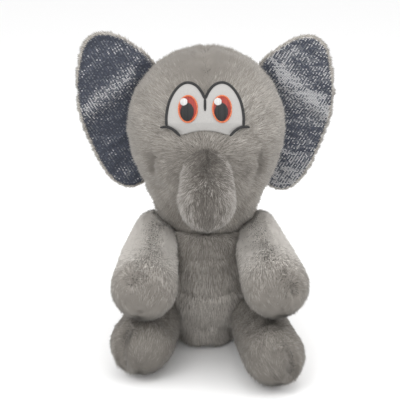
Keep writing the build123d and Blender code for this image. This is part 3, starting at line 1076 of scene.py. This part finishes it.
# The arms' pile has a pale shade of its own, used on the tops of the arms: painted light. It is
# darker towards the paws.
ARM_PAINTED_LIGHT_SHADES = [
    fabric("arm_dark", (0.33, 0.304, 0.273), 0.75, 0.15),
    fabric("arm_mid", (0.53, 0.497, 0.455), 0.75, 0.15),
    fabric("arm_painted_light", (0.8, 0.762, 0.71), 0.75, 0.15),
]
LEFT_ARM = ((-47, -6, 108, 21), (-55, -60, 98, 24.5), (-57, -112, 92, 28))
RIGHT_ARM = ((47, -6, 108, 21), (57, -60, 98, 24.5), (63, -110, 93, 28))
LEFT_PAW_DENT = (((-73, -131, 113), (-68, -136, 108)), 5, 4.5)
RIGHT_PAW_DENT = (((76, -137, 110), (79, -136, 102), (80, -135, 96)), 5, 4.5)
for side, balls, dent, seed in (("left", LEFT_ARM, LEFT_PAW_DENT, 51),
                                ("right", RIGHT_ARM, RIGHT_PAW_DENT, 52)):
    limb(f"{side}_arm", balls, seed, (dent,), seamed=False, tone=0.8,
         end_tone_and_painted_light=-0.5, clump=0.4, shades=ARM_PAINTED_LIGHT_SHADES)

# Legs: thick and short, lying on the floor with the feet outwards. A seam runs over the top and
# down the sole of each foot, and the right one is stretched further.
LEFT_LEG = ((-48, -30, 31, 24.5), (-60, -103, 32, 27))
RIGHT_LEG = ((48, -32, 31, 24.5), (61.5, -126, 31, 26))
LEFT_SOLE_SEAM = (((-72, -119, 52), (-76, -123, 34), (-74, -121, 16)), 5.5, 3.2)
RIGHT_SOLE_SEAM = (((72, -146, 48), (76, -149, 34), (76, -147, 18)), 5.5, 3.2)
# The legs' pile is darker all over: painted shade under the arms.
for side, balls, seam, seed in (("left", LEFT_LEG, LEFT_SOLE_SEAM, 61),
                                ("right", RIGHT_LEG, RIGHT_SOLE_SEAM, 62)):
    limb(f"{side}_leg", balls, seed, (seam,), tone=-0.35, end_tone_and_painted_light=-0.45)

# Tail: a thin plush cord that ends in a tuft of longer pile. Its upper end is caught in the back
# seam of the torso, and it swings out from there.
TAIL = ((0, 60.5, 50, 3.4), (0, 68, 42, 3.2), (0, 71, 25, 2.8), (0, 72.5, 15, 4.5))
tail = bag("tail_skin", TAIL, voxel=1.2)
tail.data.shade_smooth()
skin_piece(tail, "tail_cord", "tail_tuft")
co = places(tail)
flow = combed(tail, np.tile(DOWN, (len(co), 1)))
tail_pile = pile("tail_pile", tail, flow, np.ones(len(co)), 71, length=4.5, density=2.2, lift=0.5)
tuft = pile("tail_tuft_pile", tail, flow, smooth_step(-co[:, 2], -26, -18), 72, length=9,
            density=2.5, lift=0.3, tone=-0.1)
for piece in (tail, tail_pile, tuft):
    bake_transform(piece)

# the one strand and the one loop were only patterns
for helper in (STRAND, LOOP):
    bpy.data.objects.remove(helper)

# Studio: a plain white floor, a large soft light from the front and upper left, weaker ones from
# above and from both sides, and the camera.
FLOOR_HALF, FLOOR_DROP = 3, 0.0004
mesh = bpy.data.meshes.new("floor")
mesh.from_pydata([(x * FLOOR_HALF, y * FLOOR_HALF, -FLOOR_DROP)
                  for x, y in ((-1, -1), (1, -1), (1, 1), (-1, 1))], [], [(0, 1, 2, 3)])
floor = new_object("floor", mesh)
floor.data.materials.append(fabric("floor_white", (0.95, 0.95, 0.95), 0.9))

world = bpy.data.worlds.new("studio")
bpy.context.scene.world = world
world.use_nodes = True
world.node_tree.nodes["Background"].inputs["Color"].default_value = (1, 1, 1, 1)
world.node_tree.nodes["Background"].inputs["Strength"].default_value = 1.0


def area_light(name, place, aim, size, power):
    light = bpy.data.lights.new(name, "AREA")
    light.shape = "DISK"
    light.size = size
    light.energy = power
    obj = bpy.data.objects.new(name, light)
    bpy.context.scene.collection.objects.link(obj)
    obj.location = place
    obj.rotation_euler = (Vector(aim) - Vector(place)).to_track_quat("-Z", "Y").to_euler()


area_light("key", (-0.6, -1.0, 1.3), (0, 0, 0.15), 0.8, 6)
area_light("top", (0.15, -0.3, 1.3), (0, -0.03, 0.12), 0.9, 4)
area_light("left", (-1.1, -0.35, 0.75), (-0.05, -0.05, 0.12), 0.8, 2.5)
area_light("right", (1.1, -0.35, 0.75), (0.05, -0.05, 0.12), 0.8, 4)

camera = bpy.data.cameras.new("camera")
camera.lens = 90
camera.sensor_width = 36
CAMERA_RISE = radians(18)
aim = Vector((-0.006, 0, 0.138))
view = bpy.data.objects.new("camera", camera)
view.location = aim + Vector((0, -cos(CAMERA_RISE), sin(CAMERA_RISE)))
view.rotation_euler = (aim - view.location).to_track_quat("-Z", "Y").to_euler()
bpy.context.scene.collection.objects.link(view)
bpy.context.scene.camera = view
bpy.context.scene.view_settings.view_transform = "Standard"
